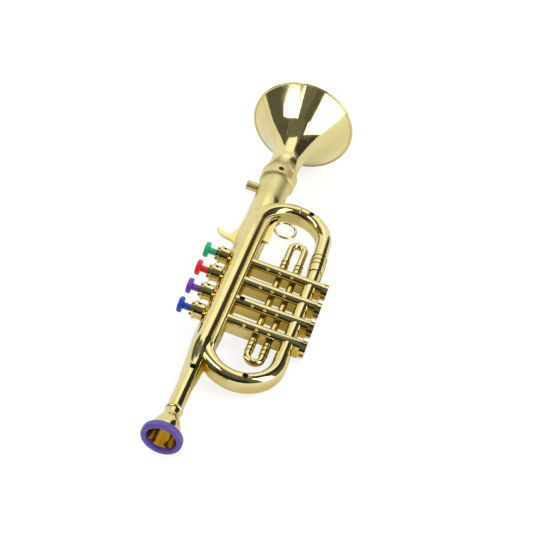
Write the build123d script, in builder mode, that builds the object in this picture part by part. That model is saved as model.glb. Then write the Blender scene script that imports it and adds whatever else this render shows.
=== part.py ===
from build123d import *
import math
import os

os.makedirs("parts", exist_ok=True)

# A toy trumpet with four sprung keys, in millimetres.
# While it is modelled, X runs along the bell tube from the mouthpiece to the bell,
# Y points toward the keys and Z toward the front of the body.
# Every finished piece is then laid down as the trumpet rests on a table.

# Bell
bell_rim_x = 369.0
bell_rim_r = 42.9
bell_throat_r = 12.3
bell_wall = 1.6
bell_flare_x = 313.0
bell_spigot_length = 9.0
bell_lip_r = 1.0
bell_rim_angle = 59.0
# Flare outline, as shares of the flare's length and of its rise from throat to rim
flare_x_shares = (0.107, 0.232, 0.357, 0.5, 0.643, 0.786, 0.893)
flare_r_shares = (0.02, 0.069, 0.16, 0.304, 0.487, 0.69, 0.853)

# Bell tube of the body, a slow cone with a collar
shell_wall = 1.7
tube_start_x = 100.0
tube_start_r = 9.55
tube_end_r = 12.4
collar_x = 284.0
collar_r = 14.2
collar_chamfer = 1.5
collar_end_x = 295.4
collar_lip_r = 0.9
spigot_clearance = 0.1

# Leadpipe beside the bell tube, and the nose that grows into the tube
lead_z = 4.5
lead_r = 5.8
lead_start_x = 26.4
lead_end_x = 66.0
bead_rise = 0.7
bead_length = 3.2
nose_start_x = 46.0
nose_start_r = 5.45
nose_start_z = 3.6
nose_void_share = 0.4

# Loop with a slot-shaped section
loop_r = 5.7
loop_depth = 16.4
loop_crest_z = 12.6
near_leg_y = -1.7
far_leg_y = -55.05
bend_top_x = 228.3
bend_top_r = 25.8
bend_low_x = 97.8
slim_leg_r = 4.9
slim_leg_drop = 0.6
slim_leg_margin = 14.0
thread_ring_count = 3
thread_ring_x = 204.6
thread_ring_pitch = 4.5
thread_ring_width = 1.3
thread_ring_rise = 0.45

# Valve bars
key_names = ("green", "red", "purple", "blue")
key_top_x = 182.2
key_pitch = 20.7
valve_z = 6.25
bar_width = 9.0
bar_depth = 15.6
bar_crest_z = 12.8
bar_start_y = -4.0
bar_end_y = -64.0
bar_void_y = -18.0
seam_z = 7.35
seam_step_y = -9.0
lead_seam_x = 70.0
lead_seam_y = -8.0
bump_r = 1.25
bump_angle = 45.0
bump_proud = 0.8
bump_count = 3
bump_start_y = -21.5
bump_pitch = 9.35

# Slide rods: two straight runs through the bars, a beaded bend at each end
slide_r = 2.75
slide_near_y = -31.2
slide_far_y = -41.8
slide_z = 4.5
slide_top_x = 215.8
slide_low_x = 98.3
slide_rib_rise = 0.5
slide_rib_width = 1.8
slide_rib_count = 3
slide_rib_pitch = 4.4
slide_rib_margin = 4.2

# Key barrels
barrel_r = 6.1
barrel_top_y = 15.1
barrel_foot_y = 9.4
barrel_root_y = 5.0
barrel_root_r = 3.6
barrel_root_drop = 1.0
barrel_bore_r = 4.3
barrel_floor_y = 6.2
barrel_floor = 1.2
vent_r = 1.15
vent_y = 13.5
vent_shift = 1.5

# Keys
head_r = 5.9
head_inner_y = 24.9
head_outer_y = 28.6
head_round = 1.4
stem_r = 2.5
stem_clearance = 0.08
rod_r = 1.0
rod_clearance = 0.35
flange_r = 3.9
flange_thickness = 1.2
flange_gap = 0.1

# Top caps: a round flange under a notched nut
cap_flange_r = 7.0
cap_flange_thickness = 1.7
cap_nut_r = 5.3
cap_nut_height = 2.4
cap_notch_count = 8
cap_notch_width = 1.4
cap_notch_depth = 0.8
cap_spigot_length = 1.0
cap_chamfer = 0.5
fit_gap = 0.1

# Bottom caps: a thin flange over a notched cup
end_flange_r = 6.9
end_flange_thickness = 1.0
end_cap_r = 6.2
end_cap_length = 3.4
end_notch_count = 10
end_notch_width = 1.6
end_notch_depth = 0.9
end_dish_r = 3.4
end_dish_depth = 1.2
end_spigot_r = 2.2
end_spigot_length = 3.0

# Springs, pads, reed plate and reeds inside the tube
spring_r = 3.3
spring_wall = 0.5
pad_r = 2.5
pad_thickness = 1.2
pad_gap = 0.3
plate_top_y = 1.6
plate_thickness = 1.4
plate_margin = 12.0
plate_low_z = -7.2
plate_high_z = 8.7
port_r = 1.8
rib_thickness = 5.0
rib_inset = 1.0
reed_width = 2.0
reed_longest = 9.0
reed_step = 0.8
reed_thickness = 0.3
reed_root_z = -6.6
reed_slot_margin = 0.35
reed_root_length = 2.4

# Mouthpiece with its soft ring
ring_r = 14.6
ring_bore_r = 10.64
ring_length = 5.5
ring_round = 1.7
cup_flange_r = 12.2
cup_flange_length = 2.2
cup_outer_r = 10.8
shank_r = 5.85
shank_x = 23.4
throat_r = 2.2
throat_x = 21.0
bore_r = 2.5
spigot_r = 3.9
spigot_end_x = 41.0
# Outside of the cup from flange to shank, as shares of that length and fall
cup_x_shares = (0.26, 0.5, 0.78)
cup_r_shares = (0.12, 0.32, 0.77)
cup_start_heading = (1, -0.1)
# Inside of the cup from its mouth to the throat, as shares of that length and fall
bowl_x_shares = (0.3, 0.62, 0.85)
bowl_r_shares = (0.17, 0.44, 0.75)
bowl_heading = (1, -0.3)

# Finger hook
hook_thickness = 3.0
hook_low_x = 204.8
hook_length = 31.6
hook_root_y = 10.4
hook_tip_y = 27.1
hook_fit = 0.05
# Outline of the hook, as shares of its length and of its height over the root:
# the side facing the mouthpiece, the tip, then the hollow side facing the bell
hook_back_x_shares = (0.0, 0.055, 0.11, 0.222)
hook_back_y_shares = (0.05, 0.2, 0.68, 0.93)
hook_tip_x_shares = (0.316, 0.335)
hook_tip_y_shares = (1.0, 0.92)
hook_hollow_x_shares = (0.235, 0.24, 0.33, 0.8, 1.0)
hook_hollow_y_shares = (0.68, 0.42, 0.25, 0.1, 0.05)

# Finger ring with its foot
grip_x = 231.2
grip_y = -21.6
grip_z = 6.5
grip_hole_r = 7.3
grip_wire_r = 0.95
foot_low_x = 211.0
foot_high_x = 241.0
foot_low_y = -13.4
foot_high_y = -6.0
foot_thickness = 2.4

# Post near the bell
post_x = 273.5
post_r = 3.7
post_end_y = 21.6
post_root_y = 9.0
post_round = 0.6
post_pin_r = 2.2
post_pin_y = 10.9
post_fit = 0.05

# Screws
screw_head_r = 1.9
screw_head_height = 1.3
screw_shank_r = 0.95
screw_fit = 0.02
screw_well_r = 2.25
screw_pass_r = 1.2
screw_slot_width = 0.5
screw_slot_depth = 0.5
boss_r = 3.3
boss_floor = 2.2
pilot_depth = 5.0
tip_gap = 0.4
lead_screw_x = 65.6
bar_screw_y = -12.6
bend_screw_y = -36.0
bell_screw_x = 289.6
bell_screw_length = 4.0
bell_boss_r = 2.4
bell_boss_depth = 5.2
plate_screw_z = -3.2
plate_screw_length = 4.0

# Overrun of every cut
overrun = 1.0

# Sizes that follow from the ones above
key_count = len(key_names)
key_x = [key_top_x - i * key_pitch for i in range(key_count)]
loop_front_z = loop_crest_z - loop_r
loop_back_z = loop_crest_z - loop_depth + loop_r
bend_low_r = (near_leg_y - far_leg_y) / 2
bend_low_y = near_leg_y - bend_low_r
bend_top_y = near_leg_y - bend_top_r
bar_r = bar_width / 2
bar_front_z = bar_crest_z - bar_r
bar_back_z = bar_crest_z - bar_depth + bar_r
bump_out = (bar_r + bump_proud - bump_r) * math.sin(math.radians(bump_angle))
lead_bore_r = lead_r - shell_wall
nose_void_x = nose_start_x + nose_void_share * (tube_start_x - nose_start_x)
nose_void_z = nose_start_z * (1 - nose_void_share)
nose_void_r = nose_start_r + nose_void_share * (tube_start_r - nose_start_r) - shell_wall
slide_bend_r = (slide_near_y - slide_far_y) / 2
floor_top_y = barrel_floor_y + barrel_floor
cap_top_y = barrel_top_y + cap_flange_thickness + cap_nut_height
flange_top_y = barrel_top_y - cap_spigot_length - flange_gap
flange_low_y = flange_top_y - flange_thickness
plate_low_y = plate_top_y - plate_thickness
pad_top_y = plate_low_y - pad_gap
pad_low_y = pad_top_y - pad_thickness
plate_start_x = key_x[-1] - plate_margin
plate_end_x = key_x[0] + plate_margin
plate_rib_x = (
    plate_start_x + rib_inset + rib_thickness / 2,
    plate_end_x - rib_inset - rib_thickness / 2,
)
bell_spigot_x = collar_end_x - bell_spigot_length
cup_mouth_x = ring_length - cup_flange_length
slim_end_x = key_x[0] + slim_leg_margin
slim_start_x = key_x[-1] - slim_leg_margin
low_screw_x = bend_low_x - math.sqrt(bend_low_r**2 - (bend_screw_y - bend_low_y) ** 2)
top_screw_x = bend_top_x + math.sqrt(bend_top_r**2 - (bend_screw_y - bend_top_y) ** 2)
# The far leg leans from the bars in to the narrower top bend and meets it in line
leg_run = bend_top_x - slim_end_x
leg_shift = bend_top_y - far_leg_y
leg_lean = math.atan2(leg_shift, leg_run) - math.asin(bend_top_r / math.hypot(leg_run, leg_shift))
lean_x = bend_top_x + bend_top_r * math.sin(leg_lean)
lean_y = bend_top_y - bend_top_r * math.cos(leg_lean)
screw_length = boss_floor + pilot_depth - tip_gap

# Places of the four body screws, each with the height of its parting line
body_screw_spots = [
    (lead_screw_x, 0, lead_z),
    (key_x[2], bar_screw_y, seam_z),
    (top_screw_x, bend_screw_y, seam_z),
    (low_screw_x, bend_screw_y, seam_z),
]


def circle_across_x(x, y, z, radius):
    """A round sketch across X."""
    with BuildSketch(Plane.YZ.offset(x)) as outline:
        with Locations((y, z)):
            Circle(radius)
    return outline.sketch


def circle_across_y(y, x, z, radius):
    """A round sketch across Y, facing away from the keys."""
    with BuildSketch(Plane.XZ.offset(-y)) as outline:
        with Locations((x, z)):
            Circle(radius)
    return outline.sketch


def circle_across_z(z, x, y, radius):
    """A round sketch across Z, facing the front."""
    with BuildSketch(Plane.XY.offset(z)) as outline:
        with Locations((x, y)):
            Circle(radius)
    return outline.sketch


def slot_across_x(x, y, front_z, back_z, radius):
    """A slot-shaped sketch across X, long in Z, with round ends."""
    with BuildSketch(Plane.YZ.offset(x)) as outline:
        with Locations((y, (front_z + back_z) / 2)):
            SlotCenterToCenter(front_z - back_z, 2 * radius, rotation=90)
    return outline.sketch


def share_points(start, end, x_shares, y_shares):
    """Outline points between two corners, from shares of the run and of the rise."""
    run = end[0] - start[0]
    rise = end[1] - start[1]
    return [(start[0] + a * run, start[1] + b * rise) for a, b in zip(x_shares, y_shares)]


def loop_form(radius, slim_radius):
    """The loop: near leg and both bends in one sweep, then the slimmer far leg between them."""
    with BuildPart() as form:
        with BuildLine() as path:
            low_far = Line((slim_start_x, far_leg_y), (bend_low_x, far_leg_y))
            low_bend = RadiusArc(low_far @ 1, (bend_low_x, near_leg_y), bend_low_r)
            near = Line(low_bend @ 1, (bend_top_x, near_leg_y))
            top_bend = ThreePointArc(near @ 1, (bend_top_x + bend_top_r, bend_top_y), (lean_x, lean_y))
            Line(top_bend @ 1, (slim_end_x, far_leg_y))
        section = slot_across_x(slim_start_x, far_leg_y, loop_front_z, loop_back_z, radius)
        sweep(sections=section, path=path.wire())
        front_z = loop_crest_z - slim_leg_drop - slim_leg_r
        back_z = loop_crest_z - loop_depth + slim_leg_drop + slim_leg_r
        extrude(
            slot_across_x(slim_start_x, far_leg_y, front_z, back_z, slim_radius),
            amount=slim_end_x + overrun - slim_start_x,
        )
    return form.part


def bar_form(x, radius, start_y, end_y):
    """One valve bar along Y, rounded front and back."""
    with BuildPart() as form:
        with BuildSketch(Plane.XZ.offset(-start_y)):
            with Locations((x, (bar_front_z + bar_back_z) / 2)):
                SlotCenterToCenter(bar_front_z - bar_back_z, 2 * radius, rotation=90)
        extrude(amount=start_y - end_y)
    return form.part


def slide_form():
    """Two straight slide rods and the bend that joins them at each end."""
    with BuildPart() as form:
        with BuildLine(Plane.XY.offset(slide_z)) as path:
            near = Line((slide_low_x, slide_near_y), (slide_top_x, slide_near_y))
            top_bend = RadiusArc(near @ 1, (slide_top_x, slide_far_y), slide_bend_r)
            far = Line(top_bend @ 1, (slide_low_x, slide_far_y))
            RadiusArc(far @ 1, near @ 0, slide_bend_r)
        section = circle_across_x(slide_low_x, slide_near_y, slide_z, slide_r)
        sweep(sections=section, path=path.wire())
    return form.part


def screw_form(x, y, seat_z, length):
    """A slotted round-head screw pointing to the back, its head on the seat."""
    with BuildPart() as form:
        extrude(circle_across_z(seat_z, x, y, screw_head_r), amount=screw_head_height)
        extrude(circle_across_z(seat_z, x, y, screw_shank_r), amount=-length)
        with BuildSketch(Plane.XY.offset(seat_z + screw_head_height)):
            with Locations((x, y)):
                Rectangle(2 * screw_head_r, screw_slot_width)
        extrude(amount=-screw_slot_depth, mode=Mode.SUBTRACT)
    return form.part


pieces = {}


def finish(piece, name):
    """Label a finished piece and keep it for laying down."""
    piece.part.label = name
    pieces[name] = piece.part


# Outside of both body halves together
with BuildPart() as body_outer:
    with BuildSketch(Plane.XY.offset(lead_z)):
        with BuildLine():
            mouth = Line((lead_start_x, 0), (lead_start_x, lead_r))
            bead = ThreePointArc(
                mouth @ 1,
                (lead_start_x + bead_length / 2, lead_r + bead_rise),
                (lead_start_x + bead_length, lead_r),
            )
            Polyline(bead @ 1, (lead_end_x, lead_r), (lead_end_x, 0), mouth @ 0)
        make_face()
    revolve(axis=Axis((0, 0, lead_z), (1, 0, 0)))
    loft(
        sections=[
            circle_across_x(lead_end_x, 0, lead_z, lead_r),
            circle_across_x(bend_low_x, near_leg_y, loop_front_z, loop_r),
        ]
    )
    loft(
        sections=[
            circle_across_x(nose_start_x, 0, nose_start_z, nose_start_r),
            circle_across_x(tube_start_x, 0, 0, tube_start_r),
        ]
    )
    with BuildSketch():
        with BuildLine():
            Polyline(
                (tube_start_x, 0),
                (tube_start_x, tube_start_r),
                (collar_x, tube_end_r),
                (collar_x + collar_chamfer, collar_r),
                (collar_end_x, collar_r),
                (collar_end_x, 0),
                close=True,
            )
        make_face()
        with Locations((collar_end_x, collar_r - collar_lip_r / 2)):
            Circle(collar_lip_r)
    revolve(axis=Axis.X)
    add(loop_form(loop_r, slim_leg_r))
    for x in key_x:
        add(bar_form(x, bar_r, bar_start_y, bar_end_y))
        # Small domes on the flank of the bar
        for i in range(bump_count):
            with Locations((x - bump_out, bump_start_y - i * bump_pitch, bar_front_z + bump_out)):
                Sphere(bump_r)
    for i in range(thread_ring_count):
        ring_at = thread_ring_x + i * thread_ring_pitch - thread_ring_width / 2
        ring_y = far_leg_y + (ring_at - slim_end_x) * math.tan(leg_lean)
        ring_face = slot_across_x(ring_at, ring_y, loop_front_z, loop_back_z, loop_r + thread_ring_rise)
        extrude(ring_face, amount=thread_ring_width)
    for x in key_x:
        extrude(circle_across_y(barrel_top_y, x, valve_z, barrel_r), amount=barrel_top_y - barrel_foot_y)
        loft(
            sections=[
                circle_across_y(barrel_foot_y, x, valve_z, barrel_r),
                circle_across_y(barrel_root_y, x, valve_z - barrel_root_drop, barrel_root_r),
            ]
        )

# Hollow of both body halves together
with BuildPart() as body_hollow:
    lead_mouth = circle_across_x(lead_start_x - overrun, 0, lead_z, lead_bore_r)
    extrude(lead_mouth, amount=lead_end_x - lead_start_x + overrun)
    loft(
        sections=[
            circle_across_x(lead_end_x, 0, lead_z, lead_bore_r),
            circle_across_x(bend_low_x, near_leg_y, loop_front_z, loop_r - shell_wall),
        ]
    )
    loft(
        sections=[
            circle_across_x(nose_void_x, 0, nose_void_z, nose_void_r),
            circle_across_x(tube_start_x, 0, 0, tube_start_r - shell_wall),
        ]
    )
    with BuildSketch():
        with BuildLine():
            Polyline(
                (tube_start_x, 0),
                (tube_start_x, tube_start_r - shell_wall),
                (collar_x, tube_end_r - shell_wall),
                (bell_spigot_x, tube_end_r - shell_wall),
                (bell_spigot_x, bell_throat_r + spigot_clearance),
                (collar_end_x + overrun, bell_throat_r + spigot_clearance),
                (collar_end_x + overrun, 0),
                close=True,
            )
        make_face()
    revolve(axis=Axis.X)
    add(loop_form(loop_r - shell_wall, slim_leg_r - shell_wall))
    for x in key_x:
        add(bar_form(x, bar_r - shell_wall, bar_void_y, bar_end_y + shell_wall))

# Screw bosses, spring floors and reed plate ribs, kept inside the outer form
with BuildPart() as bosses:
    for x, y, seam in body_screw_spots:
        extrude(circle_across_z(loop_crest_z, x, y, boss_r), amount=-loop_depth)
    for x in key_x:
        extrude(circle_across_y(floor_top_y, x, valve_z, barrel_r), amount=barrel_floor)
    for x in plate_rib_x:
        with BuildSketch(Plane.XZ.offset(-plate_low_y)):
            with Locations((x, -tube_end_r / 2)):
                Rectangle(rib_thickness, tube_end_r)
        extrude(amount=tube_end_r)
    add(body_outer.part, mode=Mode.INTERSECT)

# Both halves with bosses, ribs, bores and holes, before they are parted
with BuildPart() as body:
    add(body_outer.part)
    add(body_hollow.part, mode=Mode.SUBTRACT)
    add(bosses.part)
    for x in key_x:
        bore = circle_across_y(barrel_top_y + overrun, x, valve_z, barrel_bore_r)
        extrude(bore, amount=barrel_top_y + overrun - floor_top_y, mode=Mode.SUBTRACT)
        rod_hole = circle_across_y(floor_top_y + overrun, x, valve_z, rod_r + rod_clearance)
        extrude(rod_hole, amount=floor_top_y + overrun - plate_top_y, mode=Mode.SUBTRACT)
        vent = circle_across_z(valve_z, x + vent_shift, vent_y, vent_r)
        extrude(vent, amount=barrel_r + overrun, mode=Mode.SUBTRACT)
        cap_hole = circle_across_y(bar_end_y + 2 * shell_wall, x, valve_z, end_spigot_r + fit_gap)
        extrude(cap_hole, amount=3 * shell_wall, mode=Mode.SUBTRACT)
    for x, y, seam in body_screw_spots:
        well = circle_across_z(seam + boss_floor, x, y, screw_well_r)
        extrude(well, amount=bar_crest_z, mode=Mode.SUBTRACT)
        passing = circle_across_z(seam, x, y, screw_pass_r)
        extrude(passing, amount=bar_crest_z, mode=Mode.SUBTRACT)
        pilot = circle_across_z(seam, x, y, screw_shank_r + screw_fit)
        extrude(pilot, amount=-pilot_depth, mode=Mode.SUBTRACT)
    extrude(circle_across_z(0, bell_screw_x, 0, screw_well_r), amount=collar_r + overrun, mode=Mode.SUBTRACT)
    for x in plate_rib_x:
        pilot = circle_across_y(plate_low_y, x, plate_screw_z, screw_shank_r + screw_fit)
        extrude(pilot, amount=plate_screw_length, mode=Mode.SUBTRACT)
    # Slot of the finger hook and hole of the post, half in each shell
    with BuildSketch(Plane.XY.offset(-hook_thickness / 2 - hook_fit)):
        with Locations((hook_low_x - hook_fit, hook_root_y)):
            Rectangle(hook_length + 2 * hook_fit, tube_end_r, align=Align.MIN)
    extrude(amount=hook_thickness + 2 * hook_fit, mode=Mode.SUBTRACT)
    post_hole = circle_across_y(post_pin_y, post_x, 0, post_pin_r + post_fit)
    extrude(post_hole, amount=-post_end_y, mode=Mode.SUBTRACT)

# What lies in front of the stepped parting line
with BuildPart() as front_space:
    for low_x, high_x, low_y, low_z in (
        (0, bell_rim_x, bar_end_y - overrun, seam_z),
        (0, lead_seam_x, lead_seam_y, lead_z),
        (tube_start_x, bell_rim_x, seam_step_y, 0),
    ):
        with BuildSketch(Plane.XY.offset(low_z)):
            with Locations((low_x, low_y)):
                Rectangle(high_x - low_x, post_end_y - low_y, align=Align.MIN)
        extrude(amount=bar_crest_z + overrun)

with BuildPart() as front_shell:
    add(body.part)
    add(front_space.part, mode=Mode.INTERSECT)
finish(front_shell, "front_shell")

with BuildPart() as back_shell:
    add(body.part)
    add(front_space.part, mode=Mode.SUBTRACT)
    # Slide rods with beads next to the bars
    add(slide_form())
    for y in (slide_near_y, slide_far_y):
        for i in range(slide_rib_count):
            rib_out = slide_rib_margin + i * slide_rib_pitch
            for rib_x in (key_x[0] + bar_r + rib_out, key_x[-1] - bar_r - rib_out):
                rib_face = circle_across_x(rib_x - slide_rib_width / 2, y, slide_z, slide_r + slide_rib_rise)
                extrude(rib_face, amount=slide_rib_width)
finish(back_shell, "back_shell")

# Bell: spigot, throat, flare and rolled lip, with its screw boss
rim_heading = Vector(math.cos(math.radians(bell_rim_angle)), math.sin(math.radians(bell_rim_angle)))
lip_centre = (bell_rim_x - bell_lip_r, bell_rim_r - bell_lip_r)
flare_start = (bell_flare_x, bell_throat_r)
flare_end = (
    lip_centre[0] - rim_heading.Y * bell_wall / 2,
    lip_centre[1] + rim_heading.X * bell_wall / 2,
)
flare_mid = share_points(flare_start, flare_end, flare_x_shares, flare_r_shares)
with BuildPart() as bell:
    with BuildSketch():
        with BuildLine():
            spigot_line = Line((bell_spigot_x, bell_throat_r), flare_start)
            outer_curve = Spline(flare_start, *flare_mid, flare_end, tangents=[(1, 0), rim_heading])
            inner_points = []
            for share in (0, *flare_x_shares, 1):
                point = outer_curve.position_at(share)
                heading = outer_curve.tangent_at(share)
                inner_points.append((point.X + heading.Y * bell_wall, point.Y - heading.X * bell_wall))
            inner_curve = Spline(*inner_points, tangents=[(1, 0), rim_heading])
            Line(outer_curve @ 1, inner_curve @ 1)
            Polyline(
                inner_curve @ 0,
                (bell_spigot_x, bell_throat_r - bell_wall),
                spigot_line @ 0,
            )
        make_face()
    revolve(axis=Axis.X)
    with BuildSketch():
        with Locations(lip_centre):
            Circle(bell_lip_r)
    revolve(axis=Axis.X)
    boss = circle_across_z(bell_throat_r - bell_boss_depth, bell_screw_x, 0, bell_boss_r)
    extrude(boss, amount=bell_boss_depth - bell_wall / 2)
    pilot = circle_across_z(bell_throat_r + overrun, bell_screw_x, 0, screw_shank_r + screw_fit)
    extrude(pilot, amount=-bell_screw_length - tip_gap - overrun, mode=Mode.SUBTRACT)
finish(bell, "bell")


# Mouthpiece: rim flange, cup, shank and the spigot that enters the leadpipe
cup_axis = Axis((0, 0, lead_z), (1, 0, 0))
cup_back_x = cup_mouth_x + cup_flange_length
with BuildPart() as mouthpiece:
    with BuildSketch(Plane.XY.offset(lead_z)):
        with BuildLine():
            outer_start = (cup_back_x, cup_outer_r)
            outer_end = (shank_x, shank_r)
            outer_mid = share_points(outer_start, outer_end, cup_x_shares, cup_r_shares)
            Spline(outer_start, *outer_mid, outer_end, tangents=[cup_start_heading, (1, 0)])
            Polyline(
                outer_end,
                (lead_start_x, shank_r),
                (lead_start_x, spigot_r),
                (spigot_end_x, spigot_r),
                (spigot_end_x, bore_r),
                (throat_x, throat_r),
            )
            bowl_start = (cup_mouth_x, ring_bore_r)
            bowl_end = (throat_x, throat_r)
            bowl_mid = share_points(bowl_start, bowl_end, bowl_x_shares, bowl_r_shares)
            Spline(bowl_start, *bowl_mid, bowl_end, tangents=[bowl_heading, bowl_heading])
            Polyline(
                bowl_start,
                (cup_mouth_x, cup_flange_r),
                (cup_back_x, cup_flange_r),
                outer_start,
            )
        make_face()
    revolve(axis=cup_axis)
finish(mouthpiece, "mouthpiece")

# Soft ring over the mouthpiece rim, with a groove for the rim flange
with BuildPart() as mouthpiece_rim:
    with BuildSketch(Plane.XY.offset(lead_z)):
        with BuildLine():
            Polyline(
                (0, ring_bore_r),
                (0, ring_r),
                (ring_length, ring_r),
                (ring_length, cup_flange_r),
                (cup_mouth_x, cup_flange_r),
                (cup_mouth_x, ring_bore_r),
                close=True,
            )
        make_face()
    revolve(axis=cup_axis)
    outer_edges = mouthpiece_rim.edges().filter_by(GeomType.CIRCLE).group_by(SortBy.RADIUS)[-1]
    fillet(outer_edges, radius=ring_round)
    inner_edge = mouthpiece_rim.edges().group_by(Axis.X)[0].sort_by(SortBy.RADIUS)[0]
    fillet(inner_edge, radius=ring_round / 2)
finish(mouthpiece_rim, "mouthpiece_rim")

# Keys, their caps, springs and pads
for name, x in zip(key_names, key_x):
    with BuildPart() as key:
        extrude(circle_across_y(head_outer_y, x, valve_z, head_r), amount=head_outer_y - head_inner_y)
        fillet(key.edges().group_by(Axis.Y)[-1], radius=head_round)
        chamfer(key.edges().group_by(Axis.Y)[0], length=head_round / 2)
        extrude(circle_across_y(head_inner_y, x, valve_z, stem_r), amount=head_inner_y - flange_top_y)
        extrude(circle_across_y(flange_top_y, x, valve_z, flange_r), amount=flange_thickness)
        extrude(circle_across_y(flange_low_y, x, valve_z, rod_r), amount=flange_low_y - pad_low_y)
    finish(key, f"key_{name}")

    with BuildPart() as top_cap:
        cap_flange_y = barrel_top_y + cap_flange_thickness
        extrude(circle_across_y(cap_flange_y, x, valve_z, cap_flange_r), amount=cap_flange_thickness)
        chamfer(top_cap.edges().group_by(Axis.Y)[-1], length=cap_chamfer)
        extrude(circle_across_y(cap_top_y, x, valve_z, cap_nut_r), amount=cap_nut_height)
        spigot = circle_across_y(barrel_top_y, x, valve_z, barrel_bore_r - fit_gap)
        extrude(spigot, amount=cap_spigot_length)
        with BuildSketch(Plane.XZ.offset(-cap_top_y)):
            with Locations((x, valve_z)):
                with PolarLocations(cap_nut_r, cap_notch_count):
                    Rectangle(2 * cap_notch_depth, cap_notch_width)
        extrude(amount=cap_nut_height, mode=Mode.SUBTRACT)
        stem_bore = circle_across_y(cap_top_y + overrun, x, valve_z, stem_r + stem_clearance)
        extrude(stem_bore, amount=cap_top_y - flange_top_y + 2 * overrun, mode=Mode.SUBTRACT)
    finish(top_cap, f"top_cap_{name}")

    with BuildPart() as bottom_cap:
        extrude(circle_across_y(bar_end_y, x, valve_z, end_flange_r), amount=end_flange_thickness)
        cup_top_y = bar_end_y - end_flange_thickness
        extrude(circle_across_y(cup_top_y, x, valve_z, end_cap_r), amount=end_cap_length)
        spigot = circle_across_y(bar_end_y + end_spigot_length, x, valve_z, end_spigot_r)
        extrude(spigot, amount=end_spigot_length)
        with BuildSketch(Plane.XZ.offset(-cup_top_y)):
            with Locations((x, valve_z)):
                with PolarLocations(end_cap_r, end_notch_count):
                    Rectangle(2 * end_notch_depth, end_notch_width)
        extrude(amount=end_cap_length, mode=Mode.SUBTRACT)
        dish = circle_across_y(cup_top_y - end_cap_length + end_dish_depth, x, valve_z, end_dish_r)
        extrude(dish, amount=end_dish_depth, mode=Mode.SUBTRACT)
    finish(bottom_cap, f"bottom_cap_{name}")

    with BuildPart() as spring:
        extrude(circle_across_y(flange_low_y, x, valve_z, spring_r), amount=flange_low_y - floor_top_y)
        inside = circle_across_y(flange_low_y, x, valve_z, spring_r - spring_wall)
        extrude(inside, amount=flange_low_y - floor_top_y, mode=Mode.SUBTRACT)
    finish(spring, f"spring_{name}")

    with BuildPart() as pad:
        extrude(circle_across_y(pad_top_y, x, valve_z, pad_r), amount=pad_thickness)
        rod_seat = circle_across_y(pad_top_y, x, valve_z, rod_r + screw_fit)
        extrude(rod_seat, amount=pad_thickness, mode=Mode.SUBTRACT)
    finish(pad, f"pad_{name}")

# Reed plate across the tube, with a port and a slot for each key
reed_spots = [(x, reed_longest - i * reed_step) for i, x in enumerate(key_x)]
with BuildPart() as reed_plate:
    with BuildSketch(Plane.XZ.offset(-plate_top_y)):
        with Locations((plate_start_x, plate_low_z)):
            Rectangle(plate_end_x - plate_start_x, plate_high_z - plate_low_z, align=Align.MIN)
        with Locations(*[(x, valve_z) for x in key_x]):
            Circle(port_r, mode=Mode.SUBTRACT)
        with Locations(*[(x, plate_screw_z) for x in plate_rib_x]):
            Circle(screw_pass_r, mode=Mode.SUBTRACT)
        for x, length in reed_spots:
            slot_z = reed_root_z + reed_root_length
            with Locations((x, slot_z)):
                Rectangle(
                    reed_width - 2 * reed_slot_margin,
                    length - reed_root_length,
                    align=(Align.CENTER, Align.MIN),
                    mode=Mode.SUBTRACT,
                )
    extrude(amount=plate_thickness)
finish(reed_plate, "reed_plate")

# Brass reeds on the plate, longest under the first key
with BuildPart() as reeds:
    for x, length in reed_spots:
        with BuildSketch(Plane.XZ.offset(-plate_top_y - reed_thickness)):
            with Locations((x, reed_root_z)):
                Rectangle(reed_width, length, align=(Align.CENTER, Align.MIN))
        extrude(amount=reed_thickness)
finish(reeds, "reeds")

# Finger hook, a flat blade that stands on the tube and curls toward the bell
hook_height = hook_tip_y - hook_root_y
hook_root = (hook_low_x, hook_root_y)
hook_far = (hook_low_x + hook_length, hook_tip_y)
with BuildPart() as finger_hook:
    with BuildSketch(Plane.XY.offset(-hook_thickness / 2)):
        with BuildLine():
            back = Spline(*share_points(hook_root, hook_far, hook_back_x_shares, hook_back_y_shares))
            tip = Spline(back @ 1, *share_points(hook_root, hook_far, hook_tip_x_shares, hook_tip_y_shares))
            hollow = Spline(
                tip @ 1, *share_points(hook_root, hook_far, hook_hollow_x_shares, hook_hollow_y_shares)
            )
            Polyline(hollow @ 1, (hook_low_x + hook_length, hook_root_y), hook_root, back @ 0)
        make_face()
    extrude(amount=hook_thickness)
finish(finger_hook, "finger_hook")

# Finger ring on a flat foot that hugs the tube and the bend
with BuildPart() as finger_ring:
    with BuildSketch(Plane.XY.offset(grip_z - foot_thickness / 2)):
        with Locations((foot_low_x, foot_low_y)):
            Rectangle(foot_high_x - foot_low_x, foot_high_y - foot_low_y, align=Align.MIN)
        with Locations((grip_x, grip_y)):
            Circle(grip_hole_r, mode=Mode.SUBTRACT)
    extrude(amount=foot_thickness)
    add(body_outer.part, mode=Mode.SUBTRACT)
    with BuildSketch(Plane.XZ.offset(-grip_y)):
        with Locations((grip_x + grip_hole_r + grip_wire_r, grip_z)):
            Circle(grip_wire_r)
    revolve(axis=Axis((grip_x, grip_y, 0), (0, 0, 1)))
finish(finger_ring, "finger_ring")

# Post near the bell, pinned in the tube wall
with BuildPart() as bell_post:
    extrude(circle_across_y(post_end_y, post_x, 0, post_r), amount=post_end_y - post_root_y)
    fillet(bell_post.edges().group_by(Axis.Y)[-1], radius=post_round)
    add(body_outer.part, mode=Mode.SUBTRACT)
    extrude(circle_across_y(post_end_y - post_r, post_x, 0, post_pin_r), amount=post_end_y - post_r - post_pin_y)
finish(bell_post, "bell_post")

# Screws: four through the body, one in the bell's spigot, two in the reed plate
with BuildPart() as body_screws:
    for x, y, seam in body_screw_spots:
        add(screw_form(x, y, seam + boss_floor, screw_length))
finish(body_screws, "body_screws")

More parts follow.
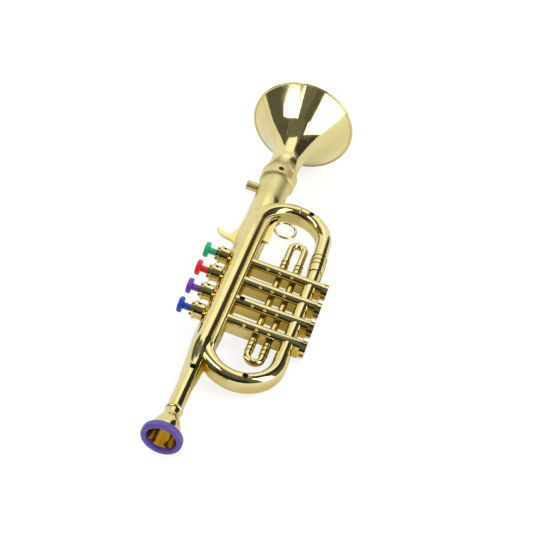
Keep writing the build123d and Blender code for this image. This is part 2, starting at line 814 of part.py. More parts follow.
with BuildPart() as bell_screw:
    add(screw_form(bell_screw_x, 0, bell_throat_r, bell_screw_length))
finish(bell_screw, "bell_screw")

with BuildPart() as plate_screws:
    for x in plate_rib_x:
        extrude(
            circle_across_y(plate_top_y + screw_head_height, x, plate_screw_z, screw_head_r),
            amount=screw_head_height,
        )
        extrude(
            circle_across_y(plate_top_y, x, plate_screw_z, screw_shank_r),
            amount=plate_thickness + plate_screw_length - tip_gap,
        )
finish(plate_screws, "plate_screws")

# The trumpet lies on the bell's lip, the mouthpiece ring, and the low bend or the last bottom cap,
# whichever meets the table first. Pitch is the rise of the bell tube, roll the turn of the bars
# down to the table.
cap_low_y = bar_end_y - end_flange_thickness - end_cap_length
pitch = 0.0
roll = 0.0
settling_rounds = 60
for _ in range(settling_rounds):
    rim_drop = lip_centre[1] - ring_r + ring_round + lead_z * math.cos(roll)
    support_gap = lip_centre[0] - ring_round
    pitch = math.asin((rim_drop * math.cos(pitch) + bell_lip_r - ring_round) / support_gap)
    bell_height = lip_centre[0] * math.sin(pitch) - lip_centre[1] * math.cos(pitch) - bell_lip_r
    side_slope = math.cos(pitch) * math.sin(roll)
    front_slope = math.cos(pitch) * math.cos(roll)
    cap_height = key_x[-1] * math.sin(pitch) + valve_z * front_slope
    cap_height -= end_cap_r * math.hypot(math.sin(pitch), front_slope)
    cap_roll = math.asin((bell_height - cap_height) / (cap_low_y * math.cos(pitch)))
    # Lowest place of the low bend's back edge, straight down the slope from the bend's middle
    downhill = math.atan2(math.sin(pitch), side_slope)
    bend_x = bend_low_x - bend_low_r * math.sin(downhill)
    bend_y = bend_low_y - bend_low_r * math.cos(downhill)
    bend_height = bend_x * math.sin(pitch) + loop_back_z * front_slope - loop_r
    bend_roll = math.asin((bell_height - bend_height) / (bend_y * math.cos(pitch)))
    roll = min(cap_roll, bend_roll)
along = Vector(math.cos(pitch), 0, math.sin(pitch))
rise = Vector(-math.sin(pitch), 0, math.cos(pitch))
up = rise * math.cos(roll) - Vector(0, 1, 0) * math.sin(roll)
tilt = Plane(origin=(0, 0, 0), x_dir=along, z_dir=up).location

# Stand the laid-down trumpet on the table plane, centred over the origin
outermost = [pieces[name].moved(tilt) for name in ("bell", "mouthpiece_rim", "bottom_cap_blue")]
low_x = min(piece.bounding_box().min.X for piece in outermost)
high_x = max(piece.bounding_box().max.X for piece in outermost)
low_y = min(piece.bounding_box().min.Y for piece in outermost)
high_y = max(piece.bounding_box().max.Y for piece in outermost)
rest = Location((-(low_x + high_x) / 2, -(low_y + high_y) / 2, -bell_height)) * tilt
for name, piece in pieces.items():
    laid = piece.moved(rest)
    laid.label = name
    export_step(laid, f"parts/{name}.step")
print("pitch", math.degrees(pitch), "roll", math.degrees(roll))
print("origin of the trumpet's own frame", tuple(rest.position))
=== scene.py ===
"""A gold toy trumpet with four coloured keys, lying on a pale table."""
import math

import bpy
from mathutils import Matrix, Vector


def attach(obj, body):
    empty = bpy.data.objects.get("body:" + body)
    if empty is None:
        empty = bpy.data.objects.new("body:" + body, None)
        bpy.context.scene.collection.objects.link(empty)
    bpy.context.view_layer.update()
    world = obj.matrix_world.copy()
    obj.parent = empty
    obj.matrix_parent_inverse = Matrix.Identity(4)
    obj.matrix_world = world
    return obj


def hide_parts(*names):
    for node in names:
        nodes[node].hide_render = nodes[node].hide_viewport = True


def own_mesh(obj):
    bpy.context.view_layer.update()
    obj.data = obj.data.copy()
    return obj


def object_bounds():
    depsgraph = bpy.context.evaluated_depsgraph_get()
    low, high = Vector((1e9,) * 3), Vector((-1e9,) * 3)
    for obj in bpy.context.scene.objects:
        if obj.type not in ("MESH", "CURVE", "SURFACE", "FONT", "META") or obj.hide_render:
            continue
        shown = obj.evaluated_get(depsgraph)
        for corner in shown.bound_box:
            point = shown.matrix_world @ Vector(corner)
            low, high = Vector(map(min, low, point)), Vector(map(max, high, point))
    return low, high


# Camera, at the photograph's viewing angle
CAMERA_PLACE = (-0.85370, -0.26551, 0.68330)
CAMERA_TARGET = (-0.00180, -0.00795, 0.03)
CAMERA_ROLL = -1.168
CAMERA_LENS = 100.05
CAMERA_SENSOR = 36.0
CAMERA_NEAR = 0.05
CAMERA_FAR = 50.0

# How the trumpet lies on the table: the rise of its tube, its roll, and the place of its origin.
# The places of the pieces below are in the trumpet's own axes.
PITCH = 5.0916
ROLL = 15.3248
ORIGIN = (-0.184865, 0.013179, 0.010075)

# Bell, along the tube's axis: a flare that opens as a parabola and ends as a straight cone,
# which starts at a share of its length, and a lip rolled from the outside round to the inside
BELL_START_X = 0.2864
BELL_FLARE_X = 0.313
BELL_RIM_X = 0.36878
BELL_THROAT_R = 0.0123
BELL_RIM_R = 0.04248
BELL_WALL = 0.0016
BELL_CONE_SHARE = 0.6
BELL_LIP_R = 0.001
BELL_LIP_CLEARANCE = 1.001
BELL_LIP_TURNS = (180.0, -90.0)
BELL_LIP_STEPS = 18
BELL_STEPS = 70
BELL_SIDES = 256

# Near leg of the loop: it grows out of the leadpipe and runs into the top bend
LEG_START_X = 0.06795
LEG_FULL_X = 0.094
LEG_BEND_X = 0.226
LEG_BEND_R = 0.0282
LEG_Y = 0.0008
LEG_START_R = 0.00575
LEG_R = 0.0072
LEG_END_R = 0.00575
LEG_START_CREST = 0.0103
LEG_CREST = 0.0147
LEG_END_CREST = 0.01265
LEG_FLOOR = -0.0038
LEG_TURN = 90.0
LEG_START_STEPS = 24
LEG_BEND_STEPS = 48
PIPE_HALF_SIDES = 32

# Slim pipe beside the near leg
RAIL_START_X = 0.078
RAIL_FULL_X = 0.09
RAIL_Y = -0.0063
RAIL_R = 0.0023
RAIL_START_CREST = 0.0095
RAIL_CREST = 0.0136
RAIL_TURN = 50.0
RAIL_START_STEPS = 12
RAIL_BEND_STEPS = 24

# Between these places the leg and the rail stay above the keys' pads inside the tube
CLEAR_START_X = 0.106
CLEAR_END_X = 0.196
CLEAR_FADE = 0.004
CLEAR_Z = 0.009

# Keys, and dark discs of painted shade in the vents of their barrels, where the vents are only in
# shade
KEY_NAMES = ("green", "red", "purple", "blue")
KEY_TOP_X = 0.1822
KEY_PITCH = 0.0207
VENT_Y = 0.0135
VENT_SHIFT = 0.0015
VENT_R = 0.0011
VENT_SHADE_Z = 0.0108
VENT_SHADE_THICKNESS = 0.0003
VENT_SIDES = 24

GOLD_NODES = (
    "front_shell",
    "back_shell",
    "bell",
    "mouthpiece",
    "finger_hook",
    "finger_ring",
    "bell_post",
    *(f"top_cap_{name}" for name in KEY_NAMES),
    *(f"bottom_cap_{name}" for name in KEY_NAMES),
    "reeds",
)
SCREW_NODES = ("body_screws", "bell_screw", "plate_screws")

# Materials: a noise is its scale and detail, a bump is its strength and height

# Gold plating: two tones, and the noise that mixes them
GOLD_COLOR = (0.78, 0.69, 0.32)
GOLD_DEEP_COLOR = (0.73, 0.62, 0.26)
GOLD_TONE_NOISE = (38.0, 3.0)
GOLD_TONE_LEVELS = (0.3, 0.62)
# Painted shade and painted reflection: the gold is tinted deeper in the recesses, by how much open
# air a place sees within reach
RECESS_SHADE_COLOR = (0.64, 0.47, 0.08)
RECESS_SHADE_REACH = 0.02
RECESS_SHADE_SAMPLES = 8
RECESS_SHADE_LEVELS = (0.3, 0.95)
# Gloss of the plating, and its satin band along the part's own X
HAZE_NOISE = (160.0, 4.0)
HAZE_LEVELS = (0.3, 0.75)
GOLD_ROUGHNESS = (0.05, 0.11)
SATIN_START_X = 0.068
SATIN_END_X = 0.124
SATIN_FADE = 0.008
SATIN_ROUGHNESS = 0.32
# Relief of the plating: flow waves and orange peel
WAVE_NOISE = (55.0, 2.0)
WAVE_BUMP = (0.008, 0.002)
PEEL_NOISE = (1100.0, 1.0)
PEEL_BUMP = (0.06, 0.0001)

# Coloured plastics and rubber
KEY_COLORS = {
    "green": (0.003, 0.50, 0.19),
    "red": (0.88, 0.012, 0.025),
    "purple": (0.19, 0.055, 0.50),
    "blue": (0.014, 0.06, 0.50),
}
KEY_ROUGHNESS = 0.22
RING_COLOR = (0.13, 0.075, 0.42)
RING_ROUGHNESS = 0.35
PLATE_COLOR = (0.75, 0.72, 0.66)
PLATE_ROUGHNESS = 0.5
RUBBER_COLOR = (0.02, 0.02, 0.02)
RUBBER_ROUGHNESS = 0.8
MOTTLE_NOISE = (420.0, 3.0)
MOTTLE_SHADES = (0.86, 1.08)
MOTTLE_BUMP = (0.04, 0.001)

# Steel of the screws and springs
STEEL_COLOR = (0.05, 0.045, 0.03)
STEEL_NOISE = (900.0, 2.0)
STEEL_SHADES = (0.7, 1.3)
STEEL_ROUGHNESS = (0.3, 0.55)
STEEL_BUMP = (0.1, 0.0002)

WHITE = (1.0, 1.0, 1.0, 1.0)

# World: level of its light on the surfaces, and where the camera or a reflection sees it
WORLD_LEVELS = (0.55, 1.0)

# Table top: its colour for light and for the camera, and its glow for the camera and in reflections
FLOOR_HALF = 3.0
FLOOR_DROP = 0.0002
FLOOR_ROUGHNESS = 0.9
FLOOR_TONES = (0.8, 0.3)
FLOOR_GLOW_SEEN = 0.78
FLOOR_GLOW_MIRRORED = 0.2

# Lamps: name, place, width and power
LAMPS = (
    ("key_light", (-0.5, -0.9, 1.3), 0.9, 10.0),
    ("fill_light", (0.7, 0.8, 1.2), 1.0, 5.0),
)
LAMP_TARGET = (0.0, 0.0, 0.03)

# Studio: bands and panels of a dome round the bell, and cards that stand by the tube
STUDIO_CENTRE = (0.15, 0.013, 0.05)
BAND_ROWS = 8
BAND_PARTS = 4
# Bands: name, radius, strength, and stations of azimuth, lowest and highest elevation
SKY_BANDS = (
    (
        "drape_low", 1.6, 0.12,
        (
            (45, 50, 56), (55, 43, 57), (65, 37, 57), (75, 26, 57), (82, 12, 57), (92, 1, 57),
            (180, 1, 57), (262, 0, 57), (300, 0, 56), (306, 8, 54), (312, 18, 50), (318, 28, 45),
        ),
    ),
    (
        "drape_high", 1.6, 0.18,
        (
            (55, 57, 62), (65, 57, 70), (75, 57, 89), (180, 57, 89), (262, 57, 89), (270, 57, 73),
            (276, 57, 67), (288, 57, 62), (298, 57, 58),
        ),
    ),
    (
        "drape_top", 1.6, 0.18,
        ((-98, 73, 89), (-60, 79, 89), (0, 81, 89), (40, 80, 89), (75, 76, 89)),
    ),
    ("drape_back", 1.5, 0.02, ((150, 1, 30), (215, 1, 30))),
    ("drape_end", 1.5, 0.05, ((262, 0, 15), (303, 0, 15))),
    ("softbox_left", 0.9, 4.0, ((233.5, -2, 48.5), (259.5, -2, 48.5))),
    (
        "softbox_right", 0.9, 4.0,
        (
            (110, 25, 38), (113, 27, 43), (116, 28, 47), (120, 30, 51), (126, 35, 55.5),
            (132, 38, 58.5), (138, 40, 60.5), (144, 45, 62), (156, 45, 63.5), (165, 48, 65),
            (171, 50, 66),
        ),
    ),
)
# Panel: name, radius, strength, and corners of azimuth and elevation
TOP_PANEL = ("softbox_top", 1.0, 1.3, ((15, 50), (-37, 44), (-92, 69), (68, 69)))
# Cards: name, one end and the other on the floor, low and high edge, strength
STANDING_CARDS = (
    ("side_flag", (0.15, -0.25), (0.35, -0.25), 0.05, 0.38, 0.06),
    ("side_flag_end", (0.35, -0.25), (0.43, -0.25), 0.05, 0.38, 0.2),
    ("lead_flag", (-0.06, -0.12), (0.0, -0.068), 0.06, 0.22, 0.04),
)


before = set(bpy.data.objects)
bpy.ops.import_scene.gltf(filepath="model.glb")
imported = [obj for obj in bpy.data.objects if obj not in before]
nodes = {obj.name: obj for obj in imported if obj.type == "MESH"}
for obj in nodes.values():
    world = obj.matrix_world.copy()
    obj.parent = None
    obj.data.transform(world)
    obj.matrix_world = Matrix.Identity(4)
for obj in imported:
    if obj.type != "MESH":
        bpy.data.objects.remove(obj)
cad_low, cad_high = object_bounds()


def new_material(name):
    """An empty node material with its principled shader."""
    material = bpy.data.materials.new(name)
    material.use_nodes = True
    tree = material.node_tree
    return material, tree, tree.nodes["Principled BSDF"]


def add_noise(tree, noise, coordinates):
    """A noise texture in real size, read in the object's own frame."""
    node = tree.nodes.new("ShaderNodeTexNoise")
    node.inputs["Scale"].default_value, node.inputs["Detail"].default_value = noise
    tree.links.new(coordinates.outputs["Object"], node.inputs["Vector"])
    return node.outputs["Fac"]


def add_range(tree, value, source=(0.0, 1.0), target=(0.0, 1.0), smooth=False):
    """The value's span from one range to another."""
    node = tree.nodes.new("ShaderNodeMapRange")
    if smooth:
        node.interpolation_type = "SMOOTHSTEP"
    node.inputs["From Min"].default_value, node.inputs["From Max"].default_value = source
    node.inputs["To Min"].default_value, node.inputs["To Max"].default_value = target
    tree.links.new(value, node.inputs["Value"])
    return node.outputs["Result"]


def add_math(tree, operation, *terms):
    """A math node on outputs and numbers."""
    node = tree.nodes.new("ShaderNodeMath")
    node.operation = operation
    for term, socket in zip(terms, node.inputs):
        if isinstance(term, float):
            socket.default_value = term
        else:
            tree.links.new(term, socket)
    return node.outputs["Value"]


def add_ramp(tree, value, colors, levels=(0.0, 1.0)):
    """A ramp from one colour to another between two levels of the value."""
    ramp = tree.nodes.new("ShaderNodeValToRGB")
    for element, color, level in zip(ramp.color_ramp.elements, colors, levels):
        element.position = level
        element.color = (*color, 1.0)
    tree.links.new(value, ramp.inputs["Fac"])
    return ramp.outputs["Color"]


def add_bump(tree, value, bump, normal=None):
    """The normal that a value gives as relief, on top of another normal if there is one."""
    node = tree.nodes.new("ShaderNodeBump")
    node.inputs["Strength"].default_value, node.inputs["Distance"].default_value = bump
    tree.links.new(value, node.inputs["Height"])
    if normal:
        tree.links.new(normal, node.inputs["Normal"])
    return node.outputs["Normal"]


def shades_of(color, shades):
    """A darker and a lighter shade of a colour."""
    return [tuple(part * shade for part in color) for shade in shades]


def gold_material():
    """Bright pale gold plating over moulded plastic: nearly a mirror, faintly uneven, with painted
    shade deepening the gold in its recesses.
    """
    material, tree, shader = new_material("gold_plating_and_recess_shade")
    shader.inputs["Metallic"].default_value = 1.0
    coordinates = tree.nodes.new("ShaderNodeTexCoord")
    # Slow change of tone where the plating is thinner
    tone = add_noise(tree, GOLD_TONE_NOISE, coordinates)
    plating = add_ramp(tree, tone, (GOLD_DEEP_COLOR, GOLD_COLOR), GOLD_TONE_LEVELS)
    # Painted shade and painted reflection: deeper gold in the recesses, by how little open air a
    # place sees, where the plating would be shaded and reflect itself
    recess_occlusion = tree.nodes.new("ShaderNodeAmbientOcclusion")
    recess_occlusion.samples = RECESS_SHADE_SAMPLES
    recess_occlusion.inputs["Distance"].default_value = RECESS_SHADE_REACH
    painted_recess_shade = tree.nodes.new("ShaderNodeMix")
    painted_recess_shade.data_type = "RGBA"
    painted_recess_shade.inputs["A"].default_value = (*RECESS_SHADE_COLOR, 1.0)
    open_air = add_range(tree, recess_occlusion.outputs["AO"], RECESS_SHADE_LEVELS)
    tree.links.new(open_air, painted_recess_shade.inputs["Factor"])
    tree.links.new(plating, painted_recess_shade.inputs["B"])
    tree.links.new(painted_recess_shade.outputs["Result"], shader.inputs["Base Color"])
    # Handling haze in the gloss
    haze = add_noise(tree, HAZE_NOISE, coordinates)
    gloss = add_range(tree, haze, HAZE_LEVELS, GOLD_ROUGHNESS)
    # Satin band round the bell's collar
    split = tree.nodes.new("ShaderNodeSeparateXYZ")
    tree.links.new(coordinates.outputs["Object"], split.inputs["Vector"])
    x = split.outputs["X"]
    rise = add_range(tree, x, (SATIN_START_X, SATIN_START_X + SATIN_FADE), smooth=True)
    fall = add_range(tree, x, (SATIN_END_X, SATIN_END_X - SATIN_FADE), smooth=True)
    band = add_math(tree, "MULTIPLY", rise, fall)
    satin = add_math(tree, "MULTIPLY_ADD", band, SATIN_ROUGHNESS, gloss)
    tree.links.new(satin, shader.inputs["Roughness"])
    # Sink marks and flow waves of the moulding, and over them the plating's own orange peel
    waves = add_bump(tree, add_noise(tree, WAVE_NOISE, coordinates), WAVE_BUMP)
    relief = add_bump(tree, add_noise(tree, PEEL_NOISE, coordinates), PEEL_BUMP, waves)
    tree.links.new(relief, shader.inputs["Normal"])
    return material


def plastic_material(name, color, roughness):
    """Coloured plastic or rubber with a faint moulding mottle."""
    material, tree, shader = new_material(name)
    coordinates = tree.nodes.new("ShaderNodeTexCoord")
    mottle = add_noise(tree, MOTTLE_NOISE, coordinates)
    tone = add_ramp(tree, mottle, shades_of(color, MOTTLE_SHADES))
    tree.links.new(tone, shader.inputs["Base Color"])
    shader.inputs["Roughness"].default_value = roughness
    tree.links.new(add_bump(tree, mottle, MOTTLE_BUMP), shader.inputs["Normal"])
    return material


def steel_material():
    """Dark zinc-plated steel."""
    material, tree, shader = new_material("screw_steel")
    shader.inputs["Metallic"].default_value = 1.0
    coordinates = tree.nodes.new("ShaderNodeTexCoord")
    grain = add_noise(tree, STEEL_NOISE, coordinates)
    tone = add_ramp(tree, grain, shades_of(STEEL_COLOR, STEEL_SHADES))
    tree.links.new(tone, shader.inputs["Base Color"])
    gloss = add_range(tree, grain, target=STEEL_ROUGHNESS)
    tree.links.new(gloss, shader.inputs["Roughness"])
    tree.links.new(add_bump(tree, grain, STEEL_BUMP), shader.inputs["Normal"])
    return material


def dress(name, material):
    """Give a CAD node its material."""
    materials = nodes[name].data.materials
    materials.clear()
    materials.append(material)


def dress_nodes():
    """Give every CAD node its material, and add the pieces that the scene draws."""
    gold = gold_material()
    steel = steel_material()
    plate = plastic_material("inner_plastic", PLATE_COLOR, PLATE_ROUGHNESS)
    rubber = plastic_material("pad_rubber", RUBBER_COLOR, RUBBER_ROUGHNESS)
    make_bell(gold)
    make_near_leg(gold)
    make_leg_rail(gold)
    # Dark discs of painted shade in the barrels' vents
    make_vent_shades(rubber)
    for name in GOLD_NODES:
        dress(name, gold)
    for name in SCREW_NODES:
        dress(name, steel)
    for name in KEY_NAMES:
        plastic = plastic_material(f"{name}_plastic", KEY_COLORS[name], KEY_ROUGHNESS)
        dress(f"key_{name}", plastic)
        dress(f"spring_{name}", steel)
        dress(f"pad_{name}", rubber)
    dress("mouthpiece_rim", plastic_material("ring_plastic", RING_COLOR, RING_ROUGHNESS))
    dress("reed_plate", plate)


def body_frame():
    """The trumpet's own axes, X along the tube, Y toward the keys and Z to the front."""
    pitch, roll = math.radians(PITCH), math.radians(ROLL)
    along = Vector((math.cos(pitch), 0, math.sin(pitch)))
    rise = Vector((-math.sin(pitch), 0, math.cos(pitch)))
    up = rise * math.cos(roll) - Vector((0, 1, 0)) * math.sin(roll)
    turn = Matrix((along, up.cross(along), up)).transposed()
    return Matrix.Translation(ORIGIN) @ turn.to_4x4()


def make_piece(name, corners, faces, material):
    """A smooth mesh in the trumpet's own axes, fixed to its body."""
    place = body_frame()
    mesh = bpy.data.meshes.new(name)
    mesh.from_pydata([place @ Vector(corner) for corner in corners], [], faces)
    mesh.materials.append(material)
    mesh.shade_smooth()
    mesh.update()
    piece = bpy.data.objects.new(name, mesh)
    bpy.context.scene.collection.objects.link(piece)
    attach(piece, "trumpet")
    return piece


def ring_faces(rings, sides, closed):
    """Faces between neighbouring rings of corners, also from the last to the first if closed."""
    faces = []
    for i in range(rings if closed else rings - 1):
        start, after = i * sides, (i + 1) % rings * sides
        for j in range(sides):
            k = (j + 1) % sides
            faces.append((start + j, after + j, after + k, start + k))
    return faces


def tube_faces(rings, sides):
    """Faces between neighbouring rings, and one across each end."""
    total = rings * sides
    ends = [tuple(range(sides)), tuple(range(total - 1, total - sides - 1, -1))]
    return ring_faces(rings, sides, False) + ends


def blend(start, end, share):
    """The value at a share of the way from start to end."""
    return start + share * (end - start)


def bell_outline():
    """The bell's section as distances and radii, from its foot round the lip and back."""
    length, rise = BELL_RIM_X - BELL_FLARE_X, BELL_RIM_R - BELL_THROAT_R
    full = BELL_CONE_SHARE * (2 - BELL_CONE_SHARE)
    outside = [(BELL_START_X, BELL_THROAT_R)]
    inside = [(BELL_START_X, BELL_THROAT_R - BELL_WALL)]
    for i in range(BELL_STEPS + 1):
        t = i / BELL_STEPS
        curved = min(t, BELL_CONE_SHARE)
        share = (curved**2 + 2 * BELL_CONE_SHARE * (t - curved)) / full
        slope = 2 * curved / full * rise / length
        x, r = BELL_FLARE_X + t * length, BELL_THROAT_R + share * rise
        heading = Vector((1.0, slope)).normalized()
        outside.append((x, r))
        inside.append((x + heading.y * BELL_WALL, r - heading.x * BELL_WALL))
    # The lip, three quarters of a circle, takes the place of the last points
    centre = Vector((BELL_RIM_X, BELL_RIM_R)) - heading * BELL_LIP_R
    normal = Vector((-heading.y, heading.x))
    reach = BELL_LIP_R * BELL_LIP_CLEARANCE

    def past_centre(point):
        return (Vector(point) - centre).dot(heading) > 0

    while (Vector(outside[-1]) - centre).length < reach or past_centre(outside[-1]):
        outside.pop()
    while past_centre(inside[-1]):
        inside.pop()
    lip = []
    for i in range(BELL_LIP_STEPS + 1):
        turn = math.radians(blend(*BELL_LIP_TURNS, i / BELL_LIP_STEPS))
        outward = heading * math.cos(turn) + normal * math.sin(turn)
        lip.append(tuple(centre + outward * BELL_LIP_R))
    return outside + lip + inside[::-1]


def make_bell(material):
    """The bell, turned from its section."""
    outline = bell_outline()
    corners = []
    for i in range(BELL_SIDES):
        turn = 2 * math.pi * i / BELL_SIDES
        corners += [(x, r * math.cos(turn), r * math.sin(turn)) for x, r in outline]
    faces = ring_faces(BELL_SIDES, len(outline), True)
    bell = make_piece("bell_turned", corners, faces, material)
    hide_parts("bell")


def sweep_pipe(name, stations, material):
    """A round-topped pipe with straight sides, swept through its stations.

    A station is x, y, turn, radius, crest and floor. The pipe is cut flat at its floor.
    """
    half = PIPE_HALF_SIDES
    sides = 2 * (half + 1)
    corners = []
    for x, y, turn, radius, crest, floor in stations:
        for j in range(sides):
            top = j <= half
            angle = math.pi * (j if top else j - 1) / half
            across = radius * math.cos(angle)
            middle = crest - radius if top else LEG_FLOOR + radius
            z = max(middle + radius * math.sin(angle), floor)
            corners.append((x + across * math.sin(turn), y + across * math.cos(turn), z))
    make_piece(name, corners, tube_faces(len(stations), sides), material)


def bend_place(start_y, bend_r, turn):
    """The place in a bend that starts along X and turns away from the keys."""
    return LEG_BEND_X + bend_r * math.sin(turn), start_y - bend_r * (1 - math.cos(turn))


def make_near_leg(material):
    """The pipe that carries on from the leadpipe over the tube and turns into the top bend."""
    stations = []
    for i in range(LEG_START_STEPS + 1):
        t = i / LEG_START_STEPS
        eased = t**2 * (3 - 2 * t)
        radius = blend(LEG_START_R, LEG_R, eased)
        crest = blend(LEG_START_CREST, LEG_CREST, eased)
        x = blend(LEG_START_X, LEG_FULL_X, t)
        stations.append((x, eased * LEG_Y, 0.0, radius, crest, LEG_FLOOR))
    for x, floor in (
        (CLEAR_START_X - CLEAR_FADE, LEG_FLOOR),
        (CLEAR_START_X, CLEAR_Z),
        (CLEAR_END_X, CLEAR_Z),
        (CLEAR_END_X + CLEAR_FADE, LEG_FLOOR),
    ):
        stations.append((x, LEG_Y, 0.0, LEG_R, LEG_CREST, floor))
    for i in range(LEG_BEND_STEPS + 1):
        t = i / LEG_BEND_STEPS
        turn = t * math.radians(LEG_TURN)
        radius = blend(LEG_R, LEG_END_R, t)
        crest = blend(LEG_CREST, LEG_END_CREST, t)
        stations.append((*bend_place(LEG_Y, LEG_BEND_R, turn), turn, radius, crest, LEG_FLOOR))
    sweep_pipe("near_leg", stations, material)


def make_leg_rail(material):
    """The slim pipe beside the near leg, from which the valve bars start.

    It stays above the keys' pads along its bend too.
    """
    stations = []
    for i in range(RAIL_START_STEPS + 1):
        t = i / RAIL_START_STEPS
        crest = blend(RAIL_START_CREST, RAIL_CREST, t)
        x = blend(RAIL_START_X, RAIL_FULL_X, t)
        stations.append((x, RAIL_Y, 0.0, RAIL_R, crest, LEG_FLOOR))
    for x, floor in (
        (CLEAR_START_X - CLEAR_FADE, LEG_FLOOR),
        (CLEAR_START_X, CLEAR_Z),
        (CLEAR_END_X, CLEAR_Z),
    ):
        stations.append((x, RAIL_Y, 0.0, RAIL_R, RAIL_CREST, floor))
    bend_r = LEG_BEND_R + RAIL_Y - LEG_Y
    for i in range(RAIL_BEND_STEPS + 1):
        t = i / RAIL_BEND_STEPS
        turn = t * math.radians(RAIL_TURN)
        crest = blend(RAIL_CREST, RAIL_START_CREST, t)
        stations.append((*bend_place(RAIL_Y, bend_r, turn), turn, RAIL_R, crest, CLEAR_Z))
    sweep_pipe("leg_rail", stations, material)


def make_vent_shades(material):
    """Painted shade: dark discs at the ends of the vents in the barrels, where there is only shade.
    """
    for i, name in enumerate(KEY_NAMES):
        x = KEY_TOP_X - i * KEY_PITCH + VENT_SHIFT
        corners = []
        for z in (VENT_SHADE_Z, VENT_SHADE_Z + VENT_SHADE_THICKNESS):
            for j in range(VENT_SIDES):
                turn = 2 * math.pi * j / VENT_SIDES
                corners.append((x + VENT_R * math.cos(turn), VENT_Y + VENT_R * math.sin(turn), z))
        faces = tube_faces(2, VENT_SIDES)
        make_piece(f"vent_shade_{name}", corners, faces, material)


def seat_springs():
    """Give each spring a mesh of its own."""
    for name in KEY_NAMES:
        spring = nodes[f"spring_{name}"]
        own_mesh(spring)


def aim(place, target):
    """The matrix that puts a camera or lamp at a place and turns it to a target."""
    place = Vector(place)
    look = Vector(target) - place
    return Matrix.Translation(place) @ look.to_track_quat("-Z", "Y").to_matrix().to_4x4()


def make_camera():
    """The photograph's camera."""
    data = bpy.data.cameras.new("camera")
    data.lens = CAMERA_LENS
    data.sensor_width = CAMERA_SENSOR
    data.clip_start = CAMERA_NEAR
    data.clip_end = CAMERA_FAR
    camera = bpy.data.objects.new("camera", data)
    bpy.context.scene.collection.objects.link(camera)
    roll = Matrix.Rotation(math.radians(CAMERA_ROLL), 4, "Z")
    camera.matrix_world = aim(CAMERA_PLACE, CAMERA_TARGET) @ roll
    bpy.context.scene.camera = camera


def make_world():
    """White to the camera and in reflections, a plain level of light elsewhere."""
    world = bpy.data.worlds.new("studio")
    bpy.context.scene.world = world
    world.use_nodes = True
    tree = world.node_tree
    background = tree.nodes["Background"]
    path = tree.nodes.new("ShaderNodeLightPath")
    either = add_math(tree, "MAXIMUM", path.outputs["Is Camera Ray"], path.outputs["Is Glossy Ray"])
    seen = add_math(tree, "MAXIMUM", either, path.outputs["Is Transmission Ray"])
    background.inputs["Color"].default_value = WHITE
    tree.links.new(add_range(tree, seen, target=WORLD_LEVELS), background.inputs["Strength"])


def make_floor():
    """The pale table top: white to the camera, and it keeps the shadow."""
    half = FLOOR_HALF
    mesh = bpy.data.meshes.new("floor")
    corners = [(-half, -half, 0), (half, -half, 0), (half, half, 0), (-half, half, 0)]
    mesh.from_pydata(corners, [], [(0, 1, 2, 3)])
    floor = bpy.data.objects.new("floor", mesh)
    bpy.context.scene.collection.objects.link(floor)
    floor.location.z = cad_low.z - FLOOR_DROP
    material, tree, shader = new_material("table_top")
    shader.inputs["Roughness"].default_value = FLOOR_ROUGHNESS
    shader.inputs["Emission Color"].default_value = WHITE
    path = tree.nodes.new("ShaderNodeLightPath")
    seen, mirrored = path.outputs["Is Camera Ray"], path.outputs["Is Glossy Ray"]
    tree.links.new(add_range(tree, seen, target=FLOOR_TONES), shader.inputs["Base Color"])
    glow = add_math(tree, "MULTIPLY", mirrored, FLOOR_GLOW_MIRRORED)
    glow = add_math(tree, "MULTIPLY_ADD", seen, FLOOR_GLOW_SEEN, glow)
    tree.links.new(glow, shader.inputs["Emission Strength"])
    mesh.materials.append(material)


def studio_piece(name, corners, faces, strength):
    """A studio card that only reflections see: a softbox if it shines, a flag if it is dark."""
    mesh = bpy.data.meshes.new(name)
    mesh.from_pydata(corners, [], faces)
    piece = bpy.data.objects.new(name, mesh)
    bpy.context.scene.collection.objects.link(piece)
    material = bpy.data.materials.new(name)
    material.use_nodes = True
    tree = material.node_tree
    tree.nodes.clear()
    output = tree.nodes.new("ShaderNodeOutputMaterial")
    glow = tree.nodes.new("ShaderNodeEmission")
    glow.inputs["Color"].default_value = WHITE
    glow.inputs["Strength"].default_value = strength
    tree.links.new(glow.outputs["Emission"], output.inputs["Surface"])
    mesh.materials.append(material)
    piece.visible_camera = False
    piece.visible_diffuse = False
    piece.visible_shadow = False
    piece.visible_transmission = False


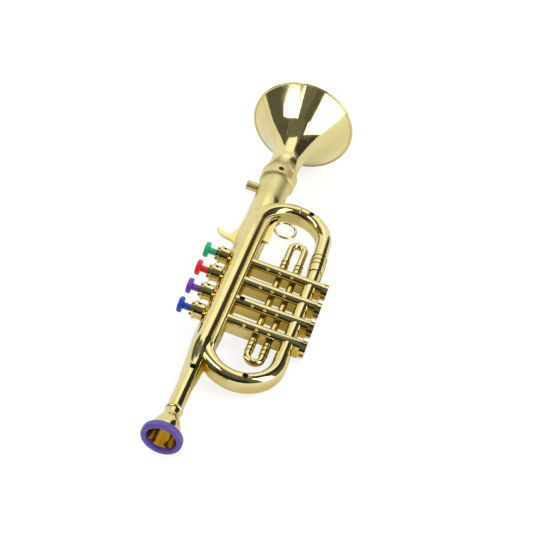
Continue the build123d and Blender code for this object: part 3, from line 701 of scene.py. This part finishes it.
def sky_place(radius, azimuth, elevation):
    """The point of the studio's dome at an azimuth and elevation."""
    turn, high = math.radians(azimuth), math.radians(elevation)
    level = radius * math.cos(high)
    x, y, z = STUDIO_CENTRE
    return x + level * math.cos(turn), y + level * math.sin(turn), z + radius * math.sin(high)


def sky_band(name, radius, strength, stations):
    """A band of the dome between stations."""
    columns = []
    for station, following in zip(stations, stations[1:]):
        for i in range(BAND_PARTS):
            t = i / BAND_PARTS
            columns.append([blend(start, end, t) for start, end in zip(station, following)])
    columns.append(stations[-1])
    corners = []
    for azimuth, low_edge, high_edge in columns:
        for j in range(BAND_ROWS + 1):
            elevation = blend(low_edge, high_edge, j / BAND_ROWS)
            corners.append(sky_place(radius, azimuth, elevation))
    faces = []
    for i in range(len(columns) - 1):
        for j in range(BAND_ROWS):
            k = i * (BAND_ROWS + 1) + j
            faces.append((k, k + BAND_ROWS + 1, k + BAND_ROWS + 2, k + 1))
    studio_piece(name, corners, faces, strength)


def sky_panel(name, radius, strength, directions):
    """A straight-edged panel whose corners are directions of the dome."""
    corners = [sky_place(radius, *direction) for direction in directions]
    studio_piece(name, corners, [tuple(range(len(corners)))], strength)


def standing_card(name, start, end, low_edge, high_edge, strength):
    """An upright card over two places on the floor."""
    corners = [(*start, low_edge), (*end, low_edge), (*end, high_edge), (*start, high_edge)]
    studio_piece(name, corners, [(0, 1, 2, 3)], strength)


def make_studio():
    """Softboxes and dark flags round the bell and the tube, as their reflections show them."""
    for band in SKY_BANDS:
        sky_band(*band)
    sky_panel(*TOP_PANEL)
    for card in STANDING_CARDS:
        standing_card(*card)


def make_lamp(name, place, width, power):
    """A soft square lamp that reflections don't see."""
    data = bpy.data.lights.new(name, "AREA")
    data.shape = "SQUARE"
    data.size = width
    data.energy = power
    lamp = bpy.data.objects.new(name, data)
    lamp.visible_glossy = False
    bpy.context.scene.collection.objects.link(lamp)
    lamp.matrix_world = aim(place, LAMP_TARGET)


dress_nodes()
seat_springs()
make_camera()
make_world()
make_floor()
make_studio()
for lamp in LAMPS:
    make_lamp(*lamp)

scene = bpy.context.scene
scene.view_settings.view_transform = "Standard"
